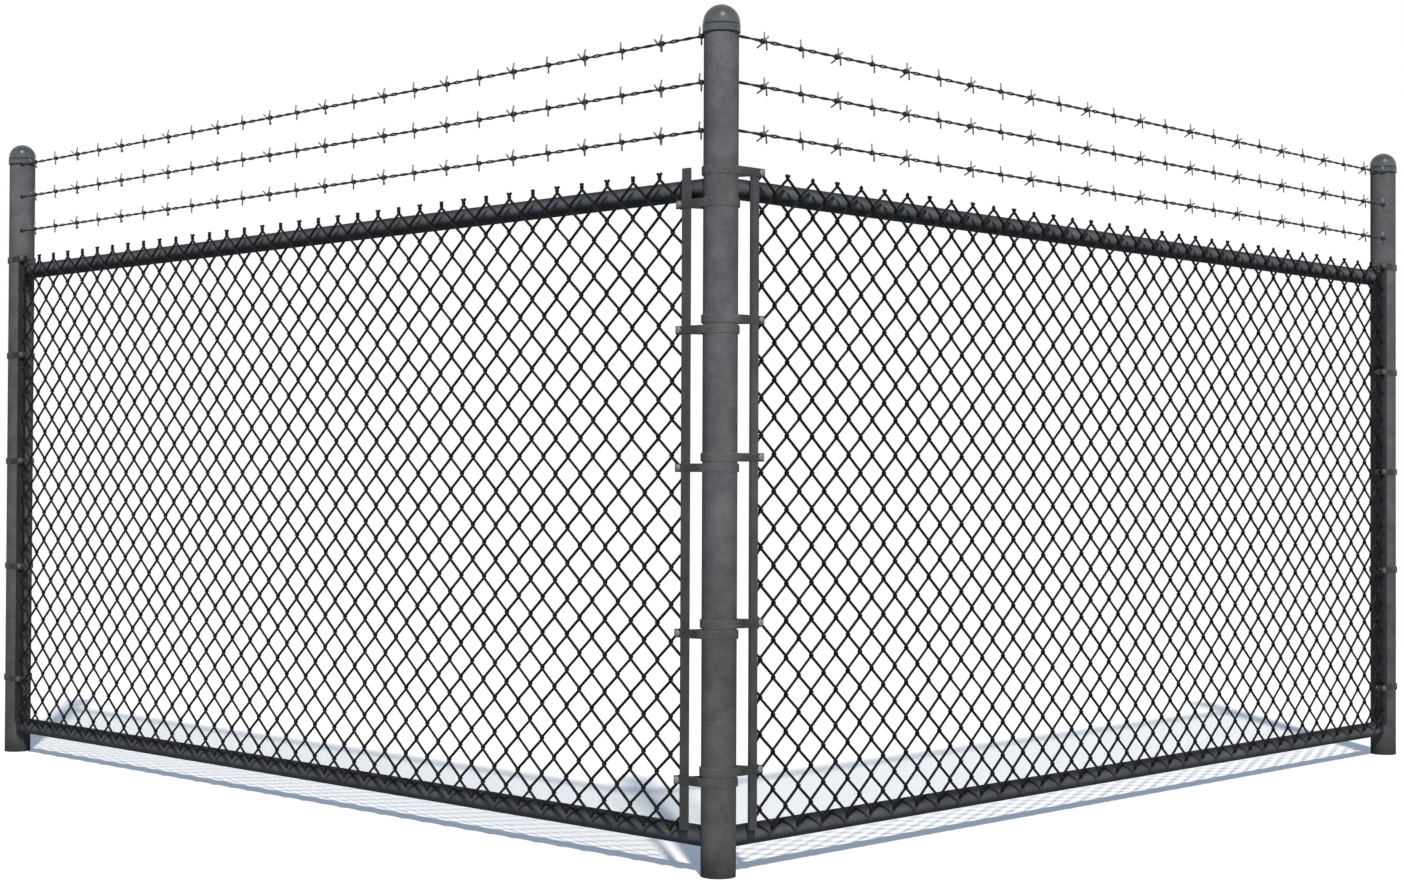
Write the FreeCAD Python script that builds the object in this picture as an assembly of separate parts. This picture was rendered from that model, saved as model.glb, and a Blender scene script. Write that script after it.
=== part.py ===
import FreeCAD, Part
import math
import os

from FreeCAD import Vector

# An outside corner of chain link fence: a corner post, two end posts and two panels at a right angle,
# each with a top and a bottom rail, wire fabric held by tension bars and bands, and three strands of
# barbed wire. Millimetres, +Z up. The origin is the centre of the corner post's foot. The right panel
# runs along +X and the left panel along +Y, and the fabric is on their outer sides, -Y and -X.

# Layout
post_spacing = 2752.0
bottom_rail_height = 74.0
seat_gap = 0.3

# Posts and their caps
post_diameter = 70.0
post_wall = 4.0
post_above_strands = 19.0
cap_wall = 2.7
cap_skirt_height = 15.0
cap_dome_rise = 41.0
cap_seam_setback = 0.8
cap_ceiling_diameter = 40.0

# Rails
rail_diameter = 42.2
rail_wall = 2.5

# Wire fabric, seen as diamonds. Half a width and half a height lead from one crossing to the next
wire_diameter = 3.8
diamond_half_width = 38.34
diamond_half_height = 37.17
half_rows = 35
foot_above_bottom_rail = 12.0
top_above_top_rail = 29.0
fabric_behind_post_face = 1.0
first_column_from_bar = 12.0
last_column_from_bar = 29.2
top_tip = 10.0
bottom_tip = 4.0

# Tension bars, whose middle plane is the fabric's
bar_from_post = 16.9
bar_width = 19.0
bar_above_foot = 1.3
bar_above_fabric = 10.7

# Tension bands. The middle ones of each five are spaced evenly, then moved by a few hand-set shifts
band_height = 18.0
band_thickness = 4.0
band_flats = 9
lug_before_bar = 1.3
bolt_from_bar = 5.0
bolt_hole_side = 8.5
lug_beyond_bolt = 8.0
band_rail_clearance = 1.9
corner_pair_clearance = 3.0
corner_first_band = 119.0
corner_band_shifts = (-6.0, 26.0, 3.0)
right_end_first_band = 106.0
right_end_band_shifts = (34.0, 14.0, -2.0)
left_end_first_band = 122.0
left_end_band_shifts = (20.0, 21.0, 24.0)

# Barbed wire. The gaps lead from the top rail to the first strand and from strand to strand
strand_gaps = (114.0, 96.0, 92.0)
strand_outward = 17.0
strand_diameter = 5.0
strand_tail = 4.0
barb_spacing = 113.5
first_barb = 103.5
barb_wire_diameter = 2.6
barb_wire_pitch = 5.0
four_point_barb = ((53.0, 44.0), (-10.0, 34.0))
two_point_barb = ((5.0, 36.0),)

# What follows from the sizes above. Outward means away from a panel's middle plane, towards its fabric
post_radius = post_diameter / 2
rail_radius = rail_diameter / 2
wire_radius = wire_diameter / 2
fabric_foot = bottom_rail_height + foot_above_bottom_rail
fabric_top = fabric_foot + half_rows * diamond_half_height
top_rail_height = fabric_top - top_above_top_rail
strand_heights = [top_rail_height + sum(strand_gaps[:count + 1]) for count in range(len(strand_gaps))]
post_height = strand_heights[-1] + post_above_strands
fence_height = post_height + cap_dome_rise
fabric_outward = post_radius - fabric_behind_post_face
layer_shift = (wire_diameter + seat_gap) / 2
bar_thickness = 2 * wire_diameter
bar_outward = fabric_outward - bar_thickness / 2
bar_start = post_radius + bar_from_post
bar_end = bar_start + bar_width
bar_foot = fabric_foot + bar_above_foot
bar_top = fabric_top + bar_above_fabric
front_lug_outward = bar_outward + bar_thickness + seat_gap
back_lug_outward = bar_outward - seat_gap - band_thickness
lug_start = bar_start - lug_before_bar
bolt_centre = bar_end + bolt_from_bar
lug_end = bolt_centre + lug_beyond_bolt
band_beside_rail = rail_radius + band_rail_clearance + band_height / 2
strand_reach = math.sqrt((post_radius - post_wall) ** 2 - strand_outward ** 2) - strand_tail
UP = Vector(0, 0, 1)
OUTWARD = Vector(0, -1, 0)


def tube(radius, wall, length, base, along):
    outer = Part.makeCylinder(radius, length, base, along)
    return outer.cut(Part.makeCylinder(radius - wall, length, base, along))


def rod(start, end, reach, sides, facing):
    """A straight rod of few sides, one of which faces the given way. Reach is to the section's corners."""
    along = (end - start).normalize()
    side = along.cross(facing).normalize()
    front = side.cross(along)
    corners = []
    for index in range(sides + 1):
        angle = 2 * math.pi * (index + 0.5) / sides
        corners.append(start + front * (reach * math.cos(angle)) + side * (reach * math.sin(angle)))
    return Part.Face(Part.makePolygon(corners)).extrude(end - start)


def left_panel(shape):
    """Turns a piece of the right panel into the left panel's, whose start is at the left end post."""
    shape.rotate(Vector(0, 0, 0), UP, -90)
    shape.translate(Vector(0, post_spacing, 0))
    return shape


def strand_holes(panel_place, towards):
    """The six-sided holes for the strands, through the side of a post that faces along its panel."""
    holes = []
    for height in strand_heights:
        start = Vector(panel_place, -strand_outward, height)
        end = start + Vector(towards * post_diameter, 0, 0)
        holes.append(rod(start, end, strand_diameter / 2 + seat_gap, 6, UP))
    return holes


def post(place, holes):
    return tube(post_radius, post_wall, post_height, place, UP).cut(holes)


def corner_post():
    holes = strand_holes(0, 1)
    holes += [left_panel(hole) for hole in strand_holes(post_spacing, -1)]
    return post(Vector(0, 0, 0), holes)


def right_end_post():
    return post(Vector(post_spacing, 0, 0), strand_holes(post_spacing, -1))


def left_end_post():
    return left_panel(post(Vector(0, 0, 0), strand_holes(0, 1)))


def cap(place):
    """A cast cap: a skirt round the pipe's end, a seam step and a dome, hollow below its crown."""
    bore = post_radius + seat_gap
    skirt = bore + cap_wall
    dome = skirt - cap_seam_setback
    foot = post_height - cap_skirt_height
    shoulder = post_height + seat_gap
    spring = fence_height - dome
    ceiling_radius = cap_ceiling_diameter / 2
    ceiling = spring + math.sqrt((dome - cap_wall) ** 2 - ceiling_radius ** 2)
    diagonal = dome * math.sqrt(0.5)
    crown = Vector(0, 0, fence_height)
    outline = [(0, ceiling), (ceiling_radius, ceiling), (bore, shoulder), (bore, foot), (skirt, foot),
               (skirt, post_height), (dome, post_height), (dome, spring)]
    points = [Vector(radius, 0, height) for radius, height in outline]
    arc = Part.Arc(points[-1], Vector(diagonal, 0, spring + diagonal), crown).toShape()
    edges = Part.makePolygon([crown] + points).Edges + [arc]
    solid = Part.Face(Part.Wire(edges)).revolve(Vector(0, 0, 0), UP, 360)
    solid.translate(place)
    return solid


def caps():
    places = (Vector(0, 0, 0), Vector(post_spacing, 0, 0), Vector(0, post_spacing, 0))
    return Part.makeCompound([cap(place) for place in places])


def rail(height):
    """A pipe from post to post, its ends cut to saddles that fit the posts."""
    pipe = tube(rail_radius, rail_wall, post_spacing, Vector(0, 0, height), Vector(1, 0, 0))
    saddles = []
    for place in (0, post_spacing):
        base = Vector(place, 0, height - rail_diameter)
        saddles.append(Part.makeCylinder(post_radius + seat_gap, 2 * rail_diameter, base, UP))
    return pipe.cut(saddles)


def tension_bar(start):
    base = Vector(start, -(bar_outward + bar_thickness), bar_foot)
    return Part.makeBox(bar_width, bar_thickness, bar_top - bar_foot, base)


def leg_angle(lug_outward, side):
    """The way that a strap's leg faces, where it runs from its lug to touch the circle round the post."""
    middle = post_radius + seat_gap + band_thickness / 2
    lug_middle = lug_outward + band_thickness / 2
    to_lug = math.atan2(lug_middle, lug_start)
    return to_lug + side * math.acos(middle / math.hypot(lug_middle, lug_start))


def strap_face(radius, front, back):
    """One face of a strap: front lug and leg, flats that touch the circle round the post, leg and lug."""
    first = leg_angle(front_lug_outward, 1)
    last = leg_angle(back_lug_outward, -1) + 2 * math.pi
    turn = (last - first) / (band_flats + 1)
    reach = radius / math.cos(turn / 2)
    corners = [Vector(lug_end, -front, 0),
               Vector((radius - front * math.sin(first)) / math.cos(first), -front, 0)]
    for index in range(band_flats + 1):
        angle = first + turn * (index + 0.5)
        corners.append(Vector(reach * math.cos(angle), -reach * math.sin(angle), 0))
    corners.append(Vector((radius - back * math.sin(last)) / math.cos(last), -back, 0))
    corners.append(Vector(lug_end, -back, 0))
    return corners


def band(height):
    """A strap round a post whose two lugs grip the tension bar and the fabric's edge between them."""
    near_radius = post_radius + seat_gap
    far_radius = near_radius + band_thickness
    near = strap_face(near_radius, front_lug_outward, back_lug_outward + band_thickness)
    far = strap_face(far_radius, front_lug_outward + band_thickness, back_lug_outward)
    outline = Part.makePolygon(near + far[::-1] + near[:1])
    strap = Part.Face(outline).extrude(UP * band_height)
    strap.translate(UP * (height - band_height / 2))
    base = Vector(bolt_centre - bolt_hole_side / 2, -post_diameter, height - bolt_hole_side / 2)
    return strap.cut(Part.makeBox(bolt_hole_side, post_diameter, bolt_hole_side, base))


def band_heights(first, shifts, last):
    """Heights of a post's bands: first and last, and between them even steps plus the shifts."""
    low = bar_foot + first
    step = (last - low) / (len(shifts) + 1)
    middle = [low + step * (index + 1) + shift for index, shift in enumerate(shifts)]
    return [low] + middle + [last]


def bands_at_start(heights):
    return Part.makeCompound([band(height) for height in heights])


def bands_at_end(heights):
    return bands_at_start(heights).mirror(Vector(post_spacing / 2, 0, 0), Vector(1, 0, 0))


def tension_bands():
    """Five bands at each end of a panel. On the corner post the left panel's sit under the right's."""
    above_rail = top_rail_height + band_beside_rail
    below_rail = top_rail_height - band_beside_rail
    right_corner = band_heights(corner_first_band, corner_band_shifts, above_rail)
    drop = band_height + corner_pair_clearance
    left_corner = [height - drop for height in right_corner[:-1]] + [below_rail]
    right_end = band_heights(right_end_first_band, right_end_band_shifts, above_rail)
    left_end = band_heights(left_end_first_band, left_end_band_shifts, above_rail)
    return {
        "right_corner_bands": bands_at_start(right_corner),
        "right_end_bands": bands_at_end(right_end),
        "left_corner_bands": left_panel(bands_at_end(left_corner)),
        "left_end_bands": left_panel(bands_at_start(left_end)),
    }


def fabric_layer(outward, lean):
    """One layer of the fabric: parallel wires that climb to the right (lean 1) or the left (lean -1).

    Wires cross at the foot in even columns and at the top in odd ones, and stand past both crossings as
    tips. Column 1 is the first beside the first tension bar. At the bars the wires end on the bar's edge.
    """
    first_place = bar_end + first_column_from_bar
    last_place = post_spacing - bar_end - last_column_from_bar
    steps = round((last_place - first_place) / diamond_half_width)
    half_width = (last_place - first_place) / steps
    step = math.hypot(half_width, diamond_half_height)
    wire_end_inset = seat_gap + wire_radius * diamond_half_height / step
    low_limit = 1 + (bar_end + wire_end_inset - first_place) / half_width
    high_limit = 1 + (post_spacing - bar_end - wire_end_inset - first_place) / half_width
    wires = []
    for foot in range(-2 * half_rows, 2 * (steps + half_rows), 2):
        low = foot - lean * bottom_tip / step
        high = foot + lean * (half_rows + top_tip / step)
        ends = []
        for column in (low, high):
            column = min(max(column, low_limit), high_limit)
            height = fabric_foot + lean * (column - foot) * diamond_half_height
            ends.append(Vector(first_place + (column - 1) * half_width, -outward, height))
        if ends[1].z - ends[0].z > diamond_half_height / 4:
            wires.append(rod(ends[0], ends[1], wire_radius * math.sqrt(2), 4, OUTWARD))
    return Part.makeCompound(wires)


def strand(height):
    start = Vector(strand_reach, -strand_outward, height)
    end = Vector(post_spacing - strand_reach, -strand_outward, height)
    return rod(start, end, strand_diameter / 2, 6, UP)


def barb(place, height, wires):
    """Short wires beside the strand. Each has a lean from upright, towards the outside, and a length."""
    barb_radius = barb_wire_diameter / 2
    beside_strand = strand_diameter / 2 + seat_gap + barb_radius
    made = []
    for index, (lean, length) in enumerate(wires):
        angle = math.radians(lean)
        along = Vector(0, -math.sin(angle), math.cos(angle))
        beside = Vector(0, -math.cos(angle), -math.sin(angle))
        shift = barb_wire_pitch * (index - (len(wires) - 1) / 2)
        middle = Vector(place + shift, -strand_outward, height) + beside * beside_strand
        half = along * (length / 2)
        made.append(rod(middle - half, middle + half, 2 * barb_radius / math.sqrt(3), 3, beside))
    return made


def barbs():
    """Four-pointed and two-pointed barbs in turn on all the strands of a panel."""
    count = int((post_spacing - post_radius - first_barb) / barb_spacing) + 1
    made = []
    for height in strand_heights:
        for index in range(count):
            wires = two_point_barb if index % 2 else four_point_barb
            made += barb(first_barb + barb_spacing * index, height, wires)
    return Part.makeCompound(made)


def panel_pieces():
    """The pieces that both panels have, made for the right panel. Start is the end seen on the left."""
    pieces = {
        "top_rail": rail(top_rail_height),
        "bottom_rail": rail(bottom_rail_height),
        "start_tension_bar": tension_bar(bar_start),
        "end_tension_bar": tension_bar(post_spacing - bar_start - bar_width),
        "fabric_outer_wires": fabric_layer(fabric_outward + layer_shift, -1),
        "fabric_inner_wires": fabric_layer(fabric_outward - layer_shift, 1),
        "barbs": barbs(),
    }
    for name, height in zip(("lower", "middle", "upper"), strand_heights):
        pieces[name + "_barbed_strand"] = strand(height)
    return pieces


def build():
    nodes = {
        "corner_post": corner_post(),
        "right_end_post": right_end_post(),
        "left_end_post": left_end_post(),
        "post_caps": caps(),
    }
    nodes.update(tension_bands())
    for name, shape in panel_pieces().items():
        right_name = name.replace("start_", "corner_")
        left_name = name.replace("end_", "corner_").replace("start_", "end_")
        nodes["right_" + right_name] = shape
        nodes["left_" + left_name] = left_panel(shape.copy())
    return nodes


os.makedirs("parts", exist_ok=True)
for node, shape in build().items():
    shape.exportStep("parts/" + node + ".step")
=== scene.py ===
import math

import bmesh
import bpy
import numpy as np
from mathutils import Matrix, Vector


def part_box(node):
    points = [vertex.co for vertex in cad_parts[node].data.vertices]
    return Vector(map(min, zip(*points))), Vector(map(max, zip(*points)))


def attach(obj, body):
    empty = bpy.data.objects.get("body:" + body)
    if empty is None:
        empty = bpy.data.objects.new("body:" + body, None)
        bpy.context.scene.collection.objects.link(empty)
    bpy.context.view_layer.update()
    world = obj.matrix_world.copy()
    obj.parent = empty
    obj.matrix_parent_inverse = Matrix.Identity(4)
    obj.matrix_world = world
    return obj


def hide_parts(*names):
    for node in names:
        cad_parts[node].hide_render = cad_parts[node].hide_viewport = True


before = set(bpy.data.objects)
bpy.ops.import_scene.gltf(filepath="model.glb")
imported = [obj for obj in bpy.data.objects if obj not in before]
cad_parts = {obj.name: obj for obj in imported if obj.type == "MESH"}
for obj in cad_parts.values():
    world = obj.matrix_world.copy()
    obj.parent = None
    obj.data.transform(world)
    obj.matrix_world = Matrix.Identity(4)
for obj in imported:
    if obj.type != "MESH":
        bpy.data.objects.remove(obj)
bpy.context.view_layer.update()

# The finish of an outside corner of chain link fence. Metres, with millimetres written times MM.
# Both panels are made in the right panel's frame: X along it from its start, -Y outward, Z up.
# The left panel is that frame turned, with its start at the left end post.
MM = 0.001


def middle(node, axis):
    low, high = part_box(node)
    return (low[axis] + high[axis]) / 2


# Places read from the frame
post_spacing = middle("right_end_post", 0)
post_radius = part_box("right_end_post")[1].y
near_bar_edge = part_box("right_corner_tension_bar")[1].x
far_bar_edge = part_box("right_end_tension_bar")[0].x
fabric_layers = ("right_fabric_inner_wires", "right_fabric_outer_wires")
fabric_outward = -sum(middle(node, 1) for node in fabric_layers) / 2
strand_nodes = ("lower_barbed_strand", "middle_barbed_strand", "upper_barbed_strand")
strand_heights = [middle("right_" + node, 2) for node in strand_nodes]
strand_outward = -middle("right_upper_barbed_strand", 1)
strand_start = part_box("right_upper_barbed_strand")[0].x

PANELS = {
    "right": Matrix.Identity(4),
    "left": Matrix.Translation((0, post_spacing, 0)) @ Matrix.Rotation(math.radians(-90), 4, "Z"),
}

# All wires. The slant is a way that no wire runs in, from which the rings round it are started
wire_sides = 6
SLANT = (0.31, 0.87, 0.38)

# Wire fabric
wire_radius = 3.0 * MM
layer_shift = wire_radius
grip_shift = 1.2 * MM
fabric_foot = 86.0 * MM
half_rows = 35
half_height = 37.17 * MM
wanted_half_width = 38.34 * MM
first_column_from_bar = 12.0 * MM
last_column_from_bar = 29.2 * MM
end_in_bar = 0.5 * MM
bend_overshoot = 3.0 * MM
bend_rounding = 1.0 * MM
bend_turn = 2.3 * MM
bend_steps = (-4.0, -2.3, -1.0, 0.0, 1.0, 2.3, 4.0)
twist_radius = 1.5 * MM
top_twist = 7.0 * MM
bottom_twist = 4.5 * MM
top_tip_rise = 2.2 * MM
bottom_tip_rise = 1.2 * MM
wide_tip_spread = 5.8 * MM
narrow_tip_spread = 2.9 * MM
wide_tip_cycle = 4
wide_tip_column = 3
twist_steps = 5

# Barbed wire
line_wire_radius = 1.9 * MM
line_twist_radius = 1.25 * MM
eye_opening = 1.0 * MM
eye_after_barb = 34.0 * MM
eye_reach = 19.0 * MM
strand_step = 3.5 * MM
first_barb = 103.5 * MM
barb_spacing = 113.5 * MM
barb_wire_radius = 1.9 * MM
barb_coil_radius = 3.7 * MM
barb_coil_pitch = 3.0 * MM
barb_reach = 18.5 * MM
barb_turn_step = math.radians(30)
wind_between_eyes = 3 * math.pi
# The wires of a barb, each with its place beside the barb's middle, the leans of its first and last
# point, its turns round the strand, and the drifts of the two points
FOUR_POINTED_BARB = ((-2.6 * MM, 57, 226, 1.6, 0.15, -0.6), (2.6 * MM, -8, 176, 1.6, 0.15, 0.0))
TWO_POINTED_BARB = ((0.0, -5, 180, 1.8, 0.0, 0.0),)

# Bands and their bolts
band_near_radius = post_radius + 0.2 * MM
band_thickness = 3.2 * MM
# Heights from a strap's middle and its thickness there, in millimetres
band_crown = ((-8.5, 2.2), (-7.8, 3.1), (0.0, 3.2), (7.8, 3.1), (8.5, 2.2))
band_arc_steps = 30
front_lug_outward = 38.1 * MM
back_lug_outward = 26.7 * MM
lug_start = 50.6 * MM
lug_end = 84.0 * MM
bolt_centre = 76.0 * MM
bolt_head_radius = 7.2 * MM
bolt_head_rise = 3.8 * MM
bolt_head_edge = 0.8 * MM
bolt_head_sunk = 1.6 * MM
bolt_head_rounding = (0.3, 0.6, 0.85)
bolt_head_sides = 20
bolt_radius = 3.9 * MM
bolt_sides = 12
bolt_end_stand = 5.0 * MM
bolt_chamfer = 0.9 * MM
nut_radius = 7.3 * MM
nut_thickness = 6.5 * MM
nut_sides = 6
sharp_edge = math.radians(50)

# Post caps
cap_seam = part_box("post_caps")[0].z + 15.0 * MM

# The darkest and the lightest tone of each finish
POST_TONES = (0.084, 0.087, 0.092), (0.152, 0.156, 0.162)
RAIL_TONES = (0.088, 0.093, 0.105), (0.149, 0.157, 0.175)
CAP_TONES = (0.082, 0.087, 0.098), (0.138, 0.145, 0.157)
CORNER_BAR_TONES = (0.074, 0.075, 0.078), (0.114, 0.115, 0.119)
# The end bars: the bars' steel darkened as painted shade
END_BAR_PAINTED_SHADE_TONES = (0.034, 0.034, 0.037), (0.054, 0.054, 0.058)
MESH_TONES = (0.007, 0.007, 0.0075), (0.013, 0.013, 0.014)
STRAND_TONES = (0.024, 0.024, 0.026), (0.055, 0.055, 0.058)
BARB_TONES = (0.18, 0.18, 0.188), (0.29, 0.29, 0.30)
CORNER_BOLT_TONES = (0.15, 0.155, 0.165), (0.24, 0.245, 0.26)
END_BOLT_TONES = (0.075, 0.077, 0.08), (0.115, 0.118, 0.122)

# Specular level and roughness of the coated steel
DULL_COAT = (0.03, 0.85)
RAIL_COAT = (0.08, 0.85)
CAP_COAT = (0.17, 0.33)

# Noises in the coated steel: scale, detail, roughness and, for the last, stretch
CLOUDS = (22.0, 5.0, 0.62)
GRAIN = (260.0, 3.0, 0.6)
BLOTCHES = (7.0, 2.0, 0.5, (1, 1, 0.45))
grain_share = 0.35
fine_grain_ratio = 9

# How far the roughness swings, and how deep the relief is
steel_swing = 0.07
wire_swing = 0.08
cloud_relief = 0.25 * MM
grain_relief = 0.06 * MM
wire_relief = 0.05 * MM

# Shades, each with its values at two places and then these places: a noise's range, heights above
# the ground, distances, or how far the surface faces up. The heights darken the foot as painted
# shade, darken the sole more and lighten the head
NOISE_SPAN = (0.3, 0.7)
MOTTLE = (0.0, 1.0) + NOISE_SPAN
BLOTCH_SHADE = (0.86, 1.08) + NOISE_SPAN
HEIGHT_SHADES = (0.72, 1.0, 0.0, 0.95), (0.5, 1.0, 0.0, 70 * MM), (1.0, 1.2, 1.2, 1.6)
# Painted shade on the rails' tops and undersides, by how far the surface faces up or down
RAIL_PAINTED_SLOPE_SHADES = (1.0, 0.22, 0.05, 0.85), (0.32, 1.0, -0.75, -0.1)
# Painted shade on the top of the caps' domes
DOME_PAINTED_SLOPE_SHADES = ((1.0, 0.5, -0.1, 0.6),)
SEAM_SHADE = (0.3, 1.0, 0.7 * MM, 2.4 * MM)
SKIRT_SHADE = (0.86, 1.0, cap_seam - 1 * MM, cap_seam + 6 * MM)
STRAP_LEG_SHADE = (1.0, 0.62, post_radius + 3 * MM, post_radius + 14 * MM)
# A painted shadow round each hole where a strand goes into an end post
WIRE_ENTRY_PAINTED_SHADOW = (0.12, 1.0, 3.6 * MM, 8 * MM)
# Painted shade on the nuts and bolt ends on the panels' inner side
CORNER_NUT_PAINTED_SHADE = (0.3, 1.0, 30 * MM, 38 * MM)
END_NUT_PAINTED_SHADE = (0.5, 1.0, 30 * MM, 38 * MM)
# Painted shade on each barb where it is coiled round the strand
BARB_COIL_PAINTED_SHADE = (0.2, 1.0, 6 * MM, 10 * MM)

# Floor and background. The dull floor is what other light than that which is seen meets
floor_reach = 60.0
floor_drop = 0.5 * MM
floor_roughness = 0.9
FLOOR_COLOUR = (0.955, 0.91, 0.835, 1)
HAZE_COLOUR = (0.57, 0.71, 1.0, 1)
haze_strength = 3.62
haze_share = 0.08
DULL_FLOOR_TONES = (0.18, 0.185, 0.20), (0.55, 0.56, 0.58)
DULL_FLOOR_FALL = (1.0, 0.0, 0.2, 0.5)
WHITE_FLOOR_RISE = (0.0, 1.0, 2.5, 6.0)
WORLD_COLOUR = (0.66, 0.82, 1.0, 1)
world_strength = 0.2


def put_in_scene(name, mesh, material, replaced=()):
    """Makes a piece of the object from a mesh, in its place, riding on the fence's one body."""
    piece = bpy.data.objects.new(name, mesh)
    bpy.context.scene.collection.objects.link(piece)
    mesh.materials.append(material)
    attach(piece, "root")
    if replaced:
        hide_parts(*replaced)
    return piece


def rings_along(path, radius, sides):
    """Rings of points round a path, turned as little as they can be from one to the next."""
    tangents = np.gradient(path, axis=0)
    tangents /= np.linalg.norm(tangents, axis=1)[:, None]
    side = np.cross(tangents[0], SLANT)
    across = np.empty_like(path)
    for index, tangent in enumerate(tangents):
        side = side - tangent * side.dot(tangent)
        side = side / math.sqrt(side.dot(side))
        across[index] = side
    upward = np.cross(tangents, across)
    turns = 2 * math.pi * np.arange(sides) / sides
    wheel = (across[:, None] * np.cos(turns)[None, :, None]
             + upward[:, None] * np.sin(turns)[None, :, None])
    return path[:, None] + radius * wheel


def tube_mesh(name, paths, radius, sides, matrix):
    """One mesh of closed round wires that follow the paths."""
    points = []
    faces = []
    start = 0
    around = np.arange(sides)
    after = (around + 1) % sides
    for path in paths:
        count = len(path)
        points.append(rings_along(np.asarray(path, float), radius, sides).reshape(-1, 3))
        ring = start + np.arange(count - 1)[:, None] * sides
        corners = [ring + around, ring + after, ring + sides + after, ring + sides + around]
        quads = np.stack(corners, -1)
        faces += quads.reshape(-1, 4).tolist()
        faces.append((start + around[::-1]).tolist())
        faces.append((start + (count - 1) * sides + around).tolist())
        start += count * sides
    mesh = bpy.data.meshes.new(name)
    mesh.from_pydata(np.concatenate(points).tolist(), [], faces)
    mesh.transform(matrix)
    mesh.polygons.foreach_set("use_smooth", [True] * len(mesh.polygons))
    mesh.update()
    return mesh


class Fabric:
    """The woven fabric of the right panel, one zigzag wire to each pair of bend columns."""

    def __init__(self):
        self.first_place = near_bar_edge + first_column_from_bar
        last_place = far_bar_edge - last_column_from_bar
        self.last_column = round((last_place - self.first_place) / wanted_half_width) + 1
        self.half_width = (last_place - self.first_place) / (self.last_column - 1)
        self.slope = (self.half_width + 2 * bend_overshoot) / half_height

    def column(self, index):
        return self.first_place + (index - 1) * self.half_width

    def bend_reach(self, rise):
        """How far a wire is past its column, at a height above or below the bend's middle."""
        return bend_overshoot - math.hypot(self.slope * rise, bend_rounding)

    def bend(self, place, side, row):
        """A bend round the next wire, outward going up on its right side and inward on its left."""
        points = []
        for step in bend_steps:
            rise = step * MM
            turn = math.sin(math.pi / 2 * min(max(rise / bend_turn, -1), 1))
            points.append((place + side * self.bend_reach(rise),
                           -fabric_outward - side * layer_shift * turn,
                           fabric_foot + row * half_height + rise))
        return points

    def twisted_end(self, place, side, row, upward):
        """A wire's end, turned half round its neighbour's and spread at the tip."""
        twist = top_twist if upward > 0 else bottom_twist
        tip = top_tip_rise if upward > 0 else bottom_tip_rise
        crossing = math.sqrt(bend_overshoot ** 2 - bend_rounding ** 2) / self.slope
        base = fabric_foot + row * half_height - upward * crossing
        lead = bend_steps[-1] * MM
        points = [(place + side * self.bend_reach(lead),
                   -fabric_outward + upward * side * layer_shift,
                   fabric_foot + row * half_height - upward * lead)]
        for step in range(twist_steps + 1):
            turn = math.pi * step / twist_steps
            points.append((place + side * twist_radius * math.sin(turn),
                           -fabric_outward + upward * side * twist_radius * math.cos(turn),
                           base + upward * twist * step / twist_steps))
        column = round((place - self.first_place) / self.half_width) + 1
        wide = column % wide_tip_cycle == wide_tip_column
        spread = wide_tip_spread if wide else narrow_tip_spread
        points.append((place - side * spread, -fabric_outward, base + upward * (twist + tip)))
        return points

    def turn(self, place, side, row):
        """The wire's points at one column: a bend or, at the foot and the top, a twisted end."""
        if row == 0:
            return self.twisted_end(place, side, row, -1)[::-1]
        if row == half_rows:
            return self.twisted_end(place, side, row, 1)
        return self.bend(place, side, row)

    def parted_wire(self, index):
        """The wire between columns index and index + 1, as its run and its two twisted ends."""
        turns = []
        for row in range(half_rows + 1):
            side = 1 if (row + index) % 2 else -1
            turns.append(self.turn(self.column(index + (side + 1) // 2), side, row))
        run = turns[0][-1:] + sum(turns[1:-1], []) + turns[-1][:1]
        return run, [turns[0], turns[-1]]

    def loops(self, column, side, edge):
        """The bends beside a tension bar and the twisted ends there.

        Each bend is a piece of wire of its own, whose legs end in the bar's edge.
        """
        place = self.column(column)
        rise = (side * (place - edge) + bend_overshoot + end_in_bar) / self.slope
        pieces = []
        ends = []
        for row in range(column % 2, half_rows + 1, 2):
            height = fabric_foot + row * half_height
            low = (edge - side * end_in_bar, -fabric_outward + side * grip_shift, height - rise)
            high = (edge - side * end_in_bar, -fabric_outward - side * grip_shift, height + rise)
            points = self.turn(place, side, row)
            if row == 0:
                pieces.append([points[-1], high])
                ends.append(points)
            elif row == half_rows:
                pieces.append([low, points[0]])
                ends.append(points)
            else:
                pieces.append([low] + points + [high])
        return pieces, ends

    def wires(self):
        """The wires of the panel's start and of its end, and all the twisted ends."""
        first, ends = self.loops(1, 1, near_bar_edge)
        second, more_ends = self.loops(self.last_column, -1, far_bar_edge)
        ends += more_ends
        for index in range(1, self.last_column):
            run, run_ends = self.parted_wire(index)
            (first if index <= self.last_column // 2 else second).append(run)
            ends += run_ends
        return first, second, ends


def fabric_pieces(material):
    """The fabric, in three pieces a panel.

    The photo shows no shadows of the twisted ends on the rails, so they cast none.
    """
    first, second, ends = Fabric().wires()
    for panel, matrix in PANELS.items():
        groups = (("start", first, "_fabric_inner_wires"), ("end", second, "_fabric_outer_wires"))
        for name, group, node in groups:
            title = panel + "_woven_fabric_" + name
            mesh = tube_mesh(title, group, wire_radius, wire_sides, matrix)
            put_in_scene(title, mesh, material, [panel + node])
        title = panel + "_twisted_fabric_ends"
        mesh = tube_mesh(title, ends, wire_radius, wire_sides, matrix)
        piece = put_in_scene(title, mesh, material)
        piece.visible_shadow = False


def barb_places():
    """Places of the four-pointed and the two-pointed barbs along a strand."""
    count = int((post_spacing - post_radius - first_barb) / barb_spacing) + 1
    places = [first_barb + barb_spacing * index for index in range(count)]
    return places[::2], places[1::2]


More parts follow.
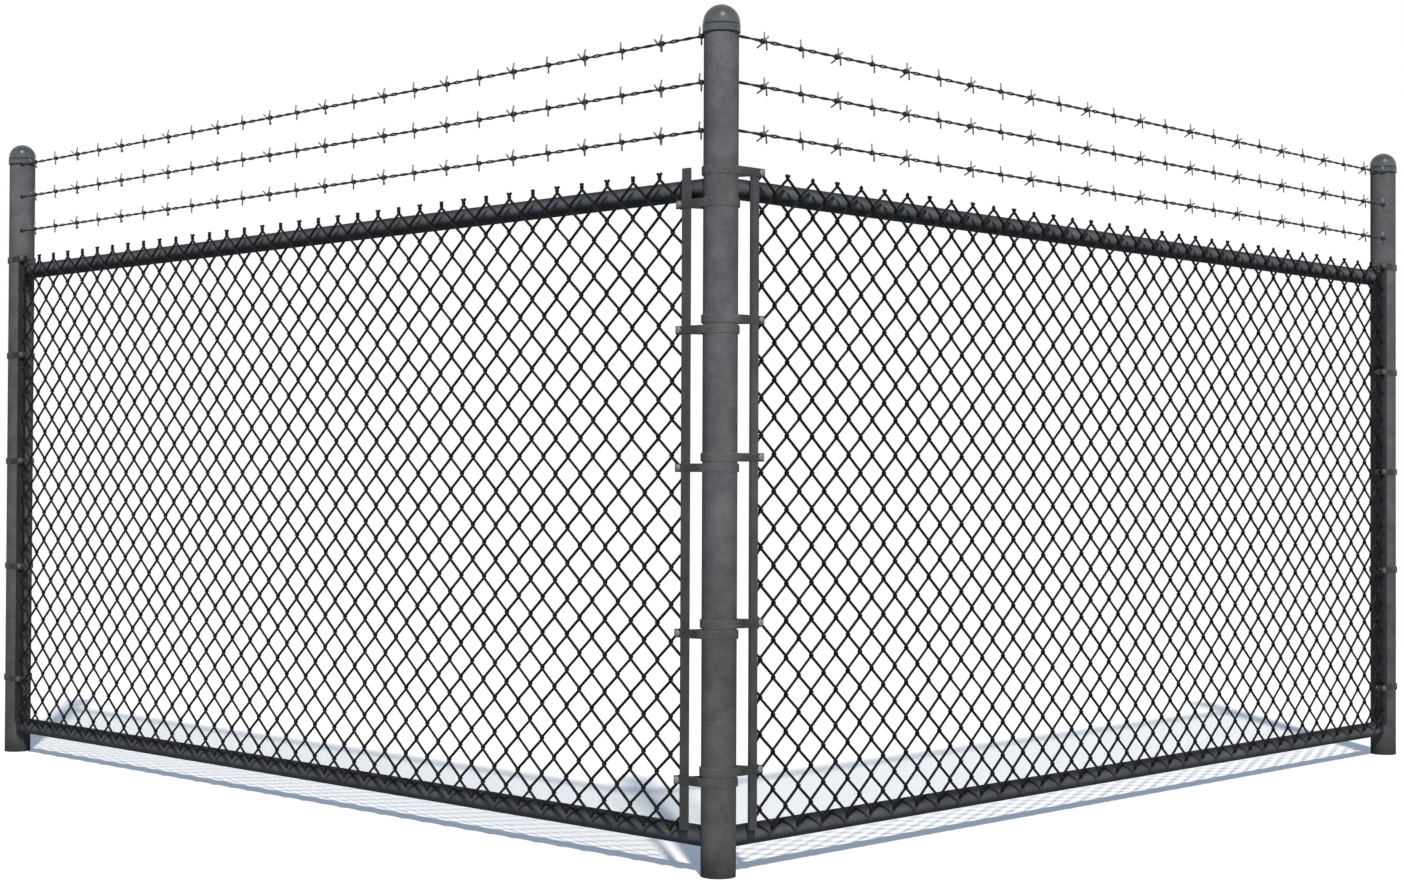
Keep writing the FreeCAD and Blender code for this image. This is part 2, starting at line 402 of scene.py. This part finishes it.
def line_wires(height):
    """The two wires of a strand, wound round each other, with an open eye after each barb."""
    four, two = barb_places()
    eyes = [place + eye_after_barb for place in sorted(four + two)]
    marks = [strand_start - eye_after_barb] + eyes + [post_spacing]
    winds = [math.pi / 2 + wind_between_eyes * index for index in range(len(marks))]
    end = post_spacing - strand_start
    count = int((end - strand_start) / strand_step)
    paths = ([], [])
    for step in range(count + 1):
        place = strand_start + (end - strand_start) * step / count
        wind = np.interp(place, marks, winds)
        nearest = min(abs(place - eye) for eye in eyes)
        opening = eye_opening * math.cos(math.pi / 2 * min(nearest / eye_reach, 1)) ** 2
        reach = line_twist_radius + opening
        for path, sign in zip(paths, (1, -1)):
            path.append((place, -strand_outward + sign * reach * math.cos(wind),
                         height + sign * reach * math.sin(wind)))
    return paths


def barb_wire(place, height, first_lean, last_lean, turns, first_drift, last_drift):
    """A wire coiled round the strand, whose two ends leave it as straight points.

    A lean is a point's angle from upright in degrees, positive outward. A drift is its share along
    the strand.
    """
    first = math.radians(first_lean) + math.pi
    last = math.radians(last_lean)
    while last < first + 2 * math.pi * turns:
        last += 2 * math.pi
    count = int((last - first) / barb_turn_step) + 1
    coil = []
    for step in range(count + 1):
        wind = first + (last - first) * step / count
        along = place + barb_coil_pitch * ((wind - (first + last) / 2) / (2 * math.pi))
        coil.append((along, -strand_outward + barb_coil_radius * math.cos(wind),
                     height + barb_coil_radius * math.sin(wind)))
    ends = []
    starts = ((coil[0], first, -1, first_drift), (coil[-1], last, 1, last_drift))
    for base, wind, way, drift in starts:
        heading = Vector((drift, -way * math.sin(wind), way * math.cos(wind))).normalized()
        ends.append(tuple(Vector(base) + heading * barb_reach))
    return [ends[0]] + coil + [ends[1]]


def barb_wires():
    four, two = barb_places()
    wires = []
    for height in strand_heights:
        for places, barb in ((four, FOUR_POINTED_BARB), (two, TWO_POINTED_BARB)):
            for place in places:
                for shift, *shape in barb:
                    wires.append(barb_wire(place + shift, height, *shape))
    return wires


def barbed_wire_pieces(line_material, barb_material):
    """The strands and barbs. The photo shows no shadows of them on the posts, so they cast none."""
    for panel, matrix in PANELS.items():
        for node, height in zip(strand_nodes, strand_heights):
            title = panel + "_twisted_" + node
            mesh = tube_mesh(title, line_wires(height), line_wire_radius, wire_sides, matrix)
            piece = put_in_scene(title, mesh, line_material, [panel + "_" + node])
            piece.visible_shadow = False
        title = panel + "_coiled_barbs"
        mesh = tube_mesh(title, barb_wires(), barb_wire_radius, wire_sides, matrix)
        piece = put_in_scene(title, mesh, barb_material, [panel + "_barbs"])
        piece.visible_shadow = False


def leg_angle(lug_outward, side):
    """The way that a strap's leg faces, which runs from a lug to touch the circle of the strap."""
    strap_middle = band_near_radius + band_thickness / 2
    lug_middle = lug_outward + band_thickness / 2
    to_lug = math.atan2(lug_middle, lug_start)
    return to_lug + side * math.acos(strap_middle / math.hypot(lug_middle, lug_start))


def strap_face(radius, front, back):
    """One face of a strap: front lug and leg, the arc round the post, back leg and lug."""
    first = leg_angle(front_lug_outward, 1)
    last = leg_angle(back_lug_outward, -1) + 2 * math.pi
    corners = [(lug_end, -front), ((radius - front * math.sin(first)) / math.cos(first), -front)]
    for step in range(band_arc_steps + 1):
        angle = first + (last - first) * step / band_arc_steps
        corners.append((radius * math.cos(angle), -radius * math.sin(angle)))
    corners.append(((radius - back * math.sin(last)) / math.cos(last), -back))
    corners.append((lug_end, -back))
    return corners


def strap():
    """A tension band's strap, crowned on its outer face, its middle height at zero."""
    shape = bmesh.new()
    inner = strap_face(band_near_radius, front_lug_outward, back_lug_outward + band_thickness)
    loops = [[(x, y, band_crown[0][0] * MM) for x, y in inner]]
    for height, thickness in band_crown:
        depth = thickness * MM
        outer = strap_face(band_near_radius + depth, front_lug_outward + depth,
                           back_lug_outward + band_thickness - depth)
        loops.append([(x, y, height * MM) for x, y in outer])
    loops.append([(x, y, band_crown[-1][0] * MM) for x, y in inner])
    rows = [[shape.verts.new(point) for point in loop] for loop in loops]
    for low, high in zip(rows, rows[1:] + rows[:1]):
        for index in range(len(low) - 1):
            shape.faces.new((low[index], low[index + 1], high[index + 1], high[index]))
    shape.faces.new([row[0] for row in rows])
    shape.faces.new([row[-1] for row in rows])
    bmesh.ops.recalc_face_normals(shape, faces=shape.faces)
    return shape


def revolved(profile, sides, phase=0.0):
    """A closed shape turned from points of radius and place along -Y."""
    shape = bmesh.new()
    rings = []
    for radius, outward in profile:
        ring = []
        for index in range(sides):
            angle = 2 * math.pi * index / sides + phase
            point = (radius * math.cos(angle), -outward, radius * math.sin(angle))
            ring.append(shape.verts.new(point))
        rings.append(ring)
    for low, high in zip(rings, rings[1:]):
        for index in range(sides):
            after = (index + 1) % sides
            shape.faces.new((low[index], low[after], high[after], high[index]))
    shape.faces.new(rings[0])
    shape.faces.new(rings[-1])
    bmesh.ops.recalc_face_normals(shape, faces=shape.faces)
    return shape


def bolt():
    """A carriage bolt through both lugs, its round head outside and its nut inside."""
    face = front_lug_outward + band_thickness
    edge = face + bolt_head_edge
    head = [(bolt_head_radius, face - bolt_head_sunk), (bolt_head_radius, edge)]
    for share in bolt_head_rounding:
        angle = math.pi / 2 * share
        head.append((bolt_head_radius * math.cos(angle),
                     edge + (bolt_head_rise - bolt_head_edge) * math.sin(angle)))
    nut_face = back_lug_outward - nut_thickness
    end = nut_face - bolt_end_stand
    shank = [(bolt_radius, face), (bolt_radius, end + bolt_chamfer),
             (bolt_radius - bolt_chamfer, end)]
    nut = [(nut_radius, back_lug_outward), (nut_radius, nut_face + bolt_chamfer),
           (nut_radius - bolt_chamfer, nut_face)]
    return [revolved(head, bolt_head_sides), revolved(shank, bolt_sides),
            revolved(nut, nut_sides, math.pi / nut_sides)]


def joined(name, shapes_and_places):
    """One mesh from shapes and their matrices. A mirrored shape has its faces turned back."""
    whole = bmesh.new()
    for shape, matrix in shapes_and_places:
        single = bpy.data.meshes.new("part")
        copy = shape.copy()
        copy.transform(matrix)
        if matrix.determinant() < 0:
            bmesh.ops.reverse_faces(copy, faces=copy.faces)
        copy.to_mesh(single)
        whole.from_mesh(single)
        bpy.data.meshes.remove(single)
        copy.free()
    mesh = bpy.data.meshes.new(name)
    whole.to_mesh(mesh)
    whole.free()
    mesh.polygons.foreach_set("use_smooth", [True] * len(mesh.polygons))
    mesh.set_sharp_from_angle(angle=sharp_edge)
    return mesh


def band_heights(node):
    """Middle heights of the bands in a node: each has its two edges and its hole's two edges."""
    heights = sorted(set(round(vertex.co.z, 4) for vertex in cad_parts[node].data.vertices))
    return [(heights[index] + heights[index + 3]) / 2 for index in range(0, len(heights), 4)]


def band_pieces(corner_material, end_material):
    """The straps and bolts. Straps cast no shadow, as the photo shows none on the posts."""
    mirror = Matrix.Translation((post_spacing, 0, 0)) @ Matrix.Diagonal((-1, 1, 1, 1))
    places = {
        "right_corner": (PANELS["right"], (0, 0, 0)),
        "right_end": (PANELS["right"] @ mirror, (post_spacing, 0, 0)),
        "left_corner": (PANELS["left"] @ mirror, (0, 0, 0)),
        "left_end": (PANELS["left"], (0, post_spacing, 0)),
    }
    to_bolt = Matrix.Translation((bolt_centre, 0, 0))
    straps = strap()
    bolts = bolt()
    for title, (matrix, post_place) in places.items():
        node = title + "_bands"
        band_material = painted_steel(title + "_strap_steel", POST_TONES, DULL_COAT,
                                      hugged=post_place)
        rises = [matrix @ Matrix.Translation((0, 0, height)) for height in band_heights(node)]
        mesh = joined(title + "_straps", [(straps, rise) for rise in rises])
        piece = put_in_scene(title + "_straps", mesh, band_material, [node])
        piece.visible_shadow = False
        piece.modifiers.new("even shading", "WEIGHTED_NORMAL").keep_sharp = True
        placed_bolts = [(part, rise @ to_bolt) for rise in rises for part in bolts]
        mesh = joined(title + "_bolts", placed_bolts)
        bolt_material = corner_material if "corner" in title else end_material
        put_in_scene(title + "_bolts", mesh, bolt_material)


class Paint:
    """A procedural material: a Principled shader and the nodes that feed it."""

    def __init__(self, name, specular):
        self.material = bpy.data.materials.new(name)
        self.material.use_nodes = True
        self.nodes = self.material.node_tree.nodes
        self.links = self.material.node_tree.links
        self.shader = self.nodes["Principled BSDF"]
        self.shader.inputs["Specular IOR Level"].default_value = specular
        self.place = self.nodes.new("ShaderNodeTexCoord").outputs["Object"]

    def noise(self, scale, detail, roughness, stretch=(1, 1, 1)):
        scaled = self.nodes.new("ShaderNodeMapping")
        scaled.inputs["Scale"].default_value = stretch
        self.links.new(self.place, scaled.inputs["Vector"])
        texture = self.nodes.new("ShaderNodeTexNoise")
        texture.inputs["Scale"].default_value = scale
        texture.inputs["Detail"].default_value = detail
        texture.inputs["Roughness"].default_value = roughness
        self.links.new(scaled.outputs["Vector"], texture.inputs["Vector"])
        return texture.outputs["Fac"]

    def spread(self, value, low, high, from_low, from_high):
        """A number that goes smoothly from low to high as the value goes between the two places."""
        node = self.nodes.new("ShaderNodeMapRange")
        node.interpolation_type = "SMOOTHSTEP"
        numbers = {"From Min": from_low, "From Max": from_high, "To Min": low, "To Max": high}
        for name, number in numbers.items():
            node.inputs[name].default_value = number
        self.links.new(value, node.inputs["Value"])
        return node.outputs["Result"]

    def math(self, kind, first, second):
        node = self.nodes.new("ShaderNodeMath")
        node.operation = kind
        for socket, value in zip(node.inputs, (first, second)):
            if isinstance(value, (int, float)):
                socket.default_value = value
            else:
                self.links.new(value, socket)
        return node.outputs["Value"]

    def mix(self, share, first, second, kind="MIX"):
        node = self.nodes.new("ShaderNodeMix")
        node.data_type = "RGBA"
        node.blend_type = kind
        sockets = [socket for socket in node.inputs if socket.type == "RGBA"]
        factor = node.inputs["Factor"]
        for socket, value in zip([factor] + sockets, (share, first, second)):
            if isinstance(value, float):
                socket.default_value = value
            elif isinstance(value, tuple):
                socket.default_value = value + (1,)
            else:
                self.links.new(value, socket)
        return [socket for socket in node.outputs if socket.type == "RGBA"][0]

    def product(self, shades):
        whole = shades[0]
        for shade in shades[1:]:
            whole = self.math("MULTIPLY", whole, shade)
        return whole

    def darkened(self, colour, shade):
        """The colour times a shade."""
        grey = self.nodes.new("ShaderNodeCombineColor")
        for socket in grey.inputs:
            self.links.new(shade, socket)
        return self.mix(1.0, colour, grey.outputs["Color"], "MULTIPLY")

    def height(self):
        node = self.nodes.new("ShaderNodeSeparateXYZ")
        self.links.new(self.place, node.inputs["Vector"])
        return node.outputs["Z"]

    def from_height(self, height):
        """Distance above or below a height."""
        return self.math("ABSOLUTE", self.math("SUBTRACT", self.height(), height), 0.0)

    def upward(self):
        """How far the surface faces up, from -1 to 1."""
        geometry = self.nodes.new("ShaderNodeNewGeometry")
        node = self.nodes.new("ShaderNodeSeparateXYZ")
        self.links.new(geometry.outputs["Normal"], node.inputs["Vector"])
        return node.outputs["Z"]

    def beside_panels(self):
        """Distance from the nearer of the two panels' middle planes."""
        node = self.nodes.new("ShaderNodeSeparateXYZ")
        self.links.new(self.place, node.inputs["Vector"])
        first = self.math("ABSOLUTE", node.outputs["X"], 0.0)
        second = self.math("ABSOLUTE", node.outputs["Y"], 0.0)
        return self.math("MINIMUM", first, second)

    def from_strands(self):
        """Distance from the nearest strand's middle line."""
        rises = [self.from_height(height) for height in strand_heights]
        rise = self.math("MINIMUM", self.math("MINIMUM", rises[0], rises[1]), rises[2])
        reach = self.math("SUBTRACT", self.beside_panels(), strand_outward)
        squares = [self.math("MULTIPLY", value, value) for value in (rise, reach)]
        return self.math("SQRT", self.math("ADD", *squares), 0.0)

    def distance(self, point, stretch=(1, 1, 1)):
        scaled = self.nodes.new("ShaderNodeMapping")
        scaled.inputs["Scale"].default_value = stretch
        self.links.new(self.place, scaled.inputs["Vector"])
        node = self.nodes.new("ShaderNodeVectorMath")
        node.operation = "DISTANCE"
        self.links.new(scaled.outputs["Vector"], node.inputs[0])
        node.inputs[1].default_value = point
        return node.outputs["Value"]

    def finish(self, colour, roughness, bumps):
        self.links.new(colour, self.shader.inputs["Base Color"])
        self.links.new(roughness, self.shader.inputs["Roughness"])
        normal = None
        for height, depth in bumps:
            node = self.nodes.new("ShaderNodeBump")
            node.inputs["Distance"].default_value = depth
            self.links.new(height, node.inputs["Height"])
            if normal:
                self.links.new(normal, node.inputs["Normal"])
            normal = node.outputs["Normal"]
        self.links.new(normal, self.shader.inputs["Normal"])
        return self.material


def painted_steel(name, tones, coat, painted_slope_shades=(), entries=(), hugged=None, seamed=False):
    """Dark coating with cloudy mottling and fine grain, darker towards the foot as painted shade.

    Painted slope shades darken it by how far it faces up or down. Entries are places where wires go
    in, each with a painted shadow round it. A strap hugs the post whose middle is given, and is
    darker on its legs. A cap is seamed.
    """
    specular, rough = coat
    paint = Paint(name, specular)
    clouds = paint.noise(*CLOUDS)
    grain = paint.noise(*GRAIN)
    blotches = paint.noise(*BLOTCHES)
    colour = paint.mix(paint.spread(clouds, *MOTTLE), *tones)
    colour = paint.mix(grain_share, colour, paint.mix(paint.spread(grain, *MOTTLE), *tones))
    shades = [paint.spread(blotches, *BLOTCH_SHADE)]
    # Painted shade towards the foot, a darker sole and a lighter head
    shades += [paint.spread(paint.height(), *shade) for shade in HEIGHT_SHADES]
    # Painted shade by how far the surface faces up or down
    shades += [paint.spread(paint.upward(), *slope) for slope in painted_slope_shades]
    if hugged:
        shades.append(paint.spread(paint.distance(hugged, (1, 1, 0)), *STRAP_LEG_SHADE))
    if seamed:
        shades.append(paint.spread(paint.from_height(cap_seam), *SEAM_SHADE))
        shades.append(paint.spread(paint.height(), *SKIRT_SHADE))
    # Painted shadows round the holes where the strands go in
    shades += [paint.spread(paint.distance(point), *WIRE_ENTRY_PAINTED_SHADOW) for point in entries]
    colour = paint.darkened(colour, paint.product(shades))
    roughness = paint.spread(clouds, rough - steel_swing, rough + steel_swing, *NOISE_SPAN)
    return paint.finish(colour, roughness, ((clouds, cloud_relief), (grain, grain_relief)))


def coated_wire(name, tones, specular, grain_scale, roughness, inner_painted_shade=None, coil_painted_shade=None):
    """Thin coated wire or a bolt, with slight changes of tone.

    A bolt gets painted shade on the panel's inner side, and a barb where it is coiled round the
    strand.
    """
    paint = Paint(name, specular)
    tone = paint.noise(grain_scale, detail=4.0, roughness=0.6)
    fine = paint.noise(fine_grain_ratio * grain_scale, detail=2.0, roughness=0.6)
    colour = paint.mix(paint.spread(tone, *MOTTLE), *tones)
    # Painted shade on the bolt's nut and end, inside the panel
    if inner_painted_shade:
        colour = paint.darkened(colour, paint.spread(paint.beside_panels(), *inner_painted_shade))
    # Painted shade on the barb's coil
    if coil_painted_shade:
        colour = paint.darkened(colour, paint.spread(paint.from_strands(), *coil_painted_shade))
    rough = paint.spread(fine, roughness - wire_swing, roughness + wire_swing, *NOISE_SPAN)
    return paint.finish(colour, rough, ((fine, wire_relief),))


def assign(material, nodes):
    for node in nodes:
        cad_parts[node].material_slots[0].material = material


def cad_materials():
    """Finishes of the pieces that are shown as the frame has them."""
    steel = painted_steel("painted_steel", POST_TONES, DULL_COAT)
    rail = painted_steel("rail_steel", RAIL_TONES, RAIL_COAT, painted_slope_shades=RAIL_PAINTED_SLOPE_SHADES)
    cap = painted_steel("cap_metal", CAP_TONES, CAP_COAT, painted_slope_shades=DOME_PAINTED_SLOPE_SHADES, seamed=True)
    bar = painted_steel("bar_steel", CORNER_BAR_TONES, DULL_COAT)
    entry = post_spacing - math.sqrt(post_radius ** 2 - strand_outward ** 2)
    entries = {
        "right": [(entry, -strand_outward, height) for height in strand_heights],
        "left": [(-strand_outward, entry, height) for height in strand_heights],
    }
    assign(steel, ["corner_post"])
    for side, points in entries.items():
        marked = painted_steel(side + "_post_steel", POST_TONES, DULL_COAT, entries=points)
        assign(marked, [side + "_end_post"])
    assign(cap, ["post_caps"])
    assign(rail, [side + part for side in PANELS for part in ("_top_rail", "_bottom_rail")])
    assign(bar, [side + "_corner_tension_bar" for side in PANELS])
    # The end bars are darker than the corner bars as painted shade
    shaded_end_bar = painted_steel("end_bar_steel", END_BAR_PAINTED_SHADE_TONES, DULL_COAT)
    assign(shaded_end_bar, [side + "_end_tension_bar" for side in PANELS])


def seen_rays(nodes, links):
    """1 for camera rays and those that a gloss or a clear thing passes on, 0 for other light."""
    rays = nodes.new("ShaderNodeLightPath")
    value = rays.outputs["Is Camera Ray"]
    for name in ("Is Glossy Ray", "Is Transmission Ray"):
        either = nodes.new("ShaderNodeMath")
        either.operation = "MAXIMUM"
        links.new(value, either.inputs[0])
        links.new(rays.outputs[name], either.inputs[1])
        value = either.outputs["Value"]
    return value


def mixed_shader(nodes, links, share, first, second):
    node = nodes.new("ShaderNodeMixShader")
    if isinstance(share, float):
        node.inputs["Fac"].default_value = share
    else:
        links.new(share, node.inputs["Fac"])
    links.new(first, node.inputs[1])
    links.new(second, node.inputs[2])
    return node.outputs["Shader"]


def floor():
    """A plain pale floor that keeps the fence's shadow and turns into the white background."""
    mesh = bpy.data.meshes.new("floor")
    signs = ((-1, -1), (1, -1), (1, 1), (-1, 1))
    corners = [(floor_reach * x, floor_reach * y, 0) for x, y in signs]
    mesh.from_pydata(corners, [], [(0, 1, 2, 3)])
    obj = bpy.data.objects.new("floor", mesh)
    bpy.context.scene.collection.objects.link(obj)
    obj.location.z = -floor_drop
    paint = Paint("floor", 0.0)
    nodes, links = paint.nodes, paint.links
    paint.shader.inputs["Base Color"].default_value = FLOOR_COLOUR
    paint.shader.inputs["Roughness"].default_value = floor_roughness
    haze = nodes.new("ShaderNodeEmission")
    haze.inputs["Color"].default_value = HAZE_COLOUR
    haze.inputs["Strength"].default_value = haze_strength
    white = nodes.new("ShaderNodeEmission")
    dull = nodes.new("ShaderNodeBsdfDiffuse")
    dull_fall = paint.spread(paint.beside_panels(), *DULL_FLOOR_FALL)
    dull_colour = paint.mix(dull_fall, *DULL_FLOOR_TONES)
    links.new(dull_colour, dull.inputs["Color"])
    near = mixed_shader(nodes, links, haze_share,
                        paint.shader.outputs["BSDF"], haze.outputs["Emission"])
    away = paint.spread(paint.distance((post_spacing / 2, post_spacing / 2, 0)), *WHITE_FLOOR_RISE)
    seen = mixed_shader(nodes, links, away, near, white.outputs["Emission"])
    surface = mixed_shader(nodes, links, seen_rays(nodes, links), dull.outputs["BSDF"], seen)
    links.new(surface, nodes["Material Output"].inputs["Surface"])
    mesh.materials.append(paint.material)


def background():
    """White where it is seen, directly or in a gloss, and a plain level as a light."""
    world = bpy.data.worlds.new("world")
    bpy.context.scene.world = world
    world.use_nodes = True
    nodes = world.node_tree.nodes
    links = world.node_tree.links
    nodes.clear()
    light = nodes.new("ShaderNodeBackground")
    light.inputs["Color"].default_value = WORLD_COLOUR
    light.inputs["Strength"].default_value = world_strength
    white = nodes.new("ShaderNodeBackground")
    white.inputs["Color"].default_value = (1, 1, 1, 1)
    white.inputs["Strength"].default_value = 1.0
    surface = mixed_shader(nodes, links, seen_rays(nodes, links),
                           light.outputs["Background"], white.outputs["Background"])
    output = nodes.new("ShaderNodeOutputWorld")
    links.new(surface, output.inputs["Surface"])


# Camera and lamps. Yaws and azimuths are turned from +X towards +Y
camera_place = Vector((-3.14741, -3.00956, 0.78896))
camera_yaw = 0.77112
camera_pitch = 0.014921
camera_roll = 0.004121
camera_lens = 56.584
camera_sensor = 36.0
sun_swing = math.radians(8.6)
sun_rise = math.radians(50)
fill_rise = math.radians(2)


def camera():
    data = bpy.data.cameras.new("camera")
    data.sensor_width = camera_sensor
    data.lens = camera_lens
    forward = Vector((math.cos(camera_yaw) * math.cos(camera_pitch),
                      math.sin(camera_yaw) * math.cos(camera_pitch), math.sin(camera_pitch)))
    level_right = Vector((math.sin(camera_yaw), -math.cos(camera_yaw), 0))
    level_up = level_right.cross(forward)
    right = level_right * math.cos(camera_roll) + level_up * math.sin(camera_roll)
    up = level_up * math.cos(camera_roll) - level_right * math.sin(camera_roll)
    obj = bpy.data.objects.new("camera", data)
    turned = Matrix((right, up, -forward)).transposed().to_4x4()
    obj.matrix_world = Matrix.Translation(camera_place) @ turned
    bpy.context.scene.collection.objects.link(obj)
    bpy.context.scene.camera = obj


def sun(name, energy, colour, angle, azimuth, rise, gloss):
    """A sun whose light travels towards the azimuth. Gloss is its share in highlights."""
    data = bpy.data.lights.new(name, "SUN")
    data.specular_factor = gloss
    data.energy = energy
    data.color = colour
    data.angle = math.radians(angle)
    travel = Vector((math.cos(azimuth) * math.cos(rise),
                     math.sin(azimuth) * math.cos(rise), -math.sin(rise)))
    obj = bpy.data.objects.new(name, data)
    obj.rotation_euler = travel.to_track_quat("-Z", "Y").to_euler()
    bpy.context.scene.collection.objects.link(obj)


camera()
sun("sun", energy=3.9, colour=(1.0, 0.98, 0.95), angle=3.0,
    azimuth=camera_yaw + sun_swing, rise=sun_rise, gloss=1.0)
# Keeps the fence's back readable without lighting the floor or the front
sun("low_fill_behind", energy=1.1, colour=(0.86, 0.93, 1.0), angle=20.0,
    azimuth=camera_yaw + math.pi, rise=fill_rise, gloss=0.0)
background()
floor()
cad_materials()
mesh_wire = coated_wire("mesh_wire", MESH_TONES, specular=0.08, grain_scale=60.0, roughness=0.6)
line_wire = coated_wire("line_wire", STRAND_TONES, specular=0.12, grain_scale=90.0, roughness=0.6)
barb_finish = coated_wire("barb_wire", BARB_TONES, specular=0.1, grain_scale=120.0, roughness=0.6,
                          coil_painted_shade=BARB_COIL_PAINTED_SHADE)
corner_bolt = coated_wire("bolt_zinc", CORNER_BOLT_TONES, specular=0.5, grain_scale=150.0,
                          roughness=0.45, inner_painted_shade=CORNER_NUT_PAINTED_SHADE)
end_bolt = coated_wire("painted_bolt", END_BOLT_TONES, specular=0.3, grain_scale=150.0,
                       roughness=0.5, inner_painted_shade=END_NUT_PAINTED_SHADE)
fabric_pieces(mesh_wire)
barbed_wire_pieces(line_wire, barb_finish)
band_pieces(corner_bolt, end_bolt)

bpy.context.scene.view_settings.view_transform = "Standard"
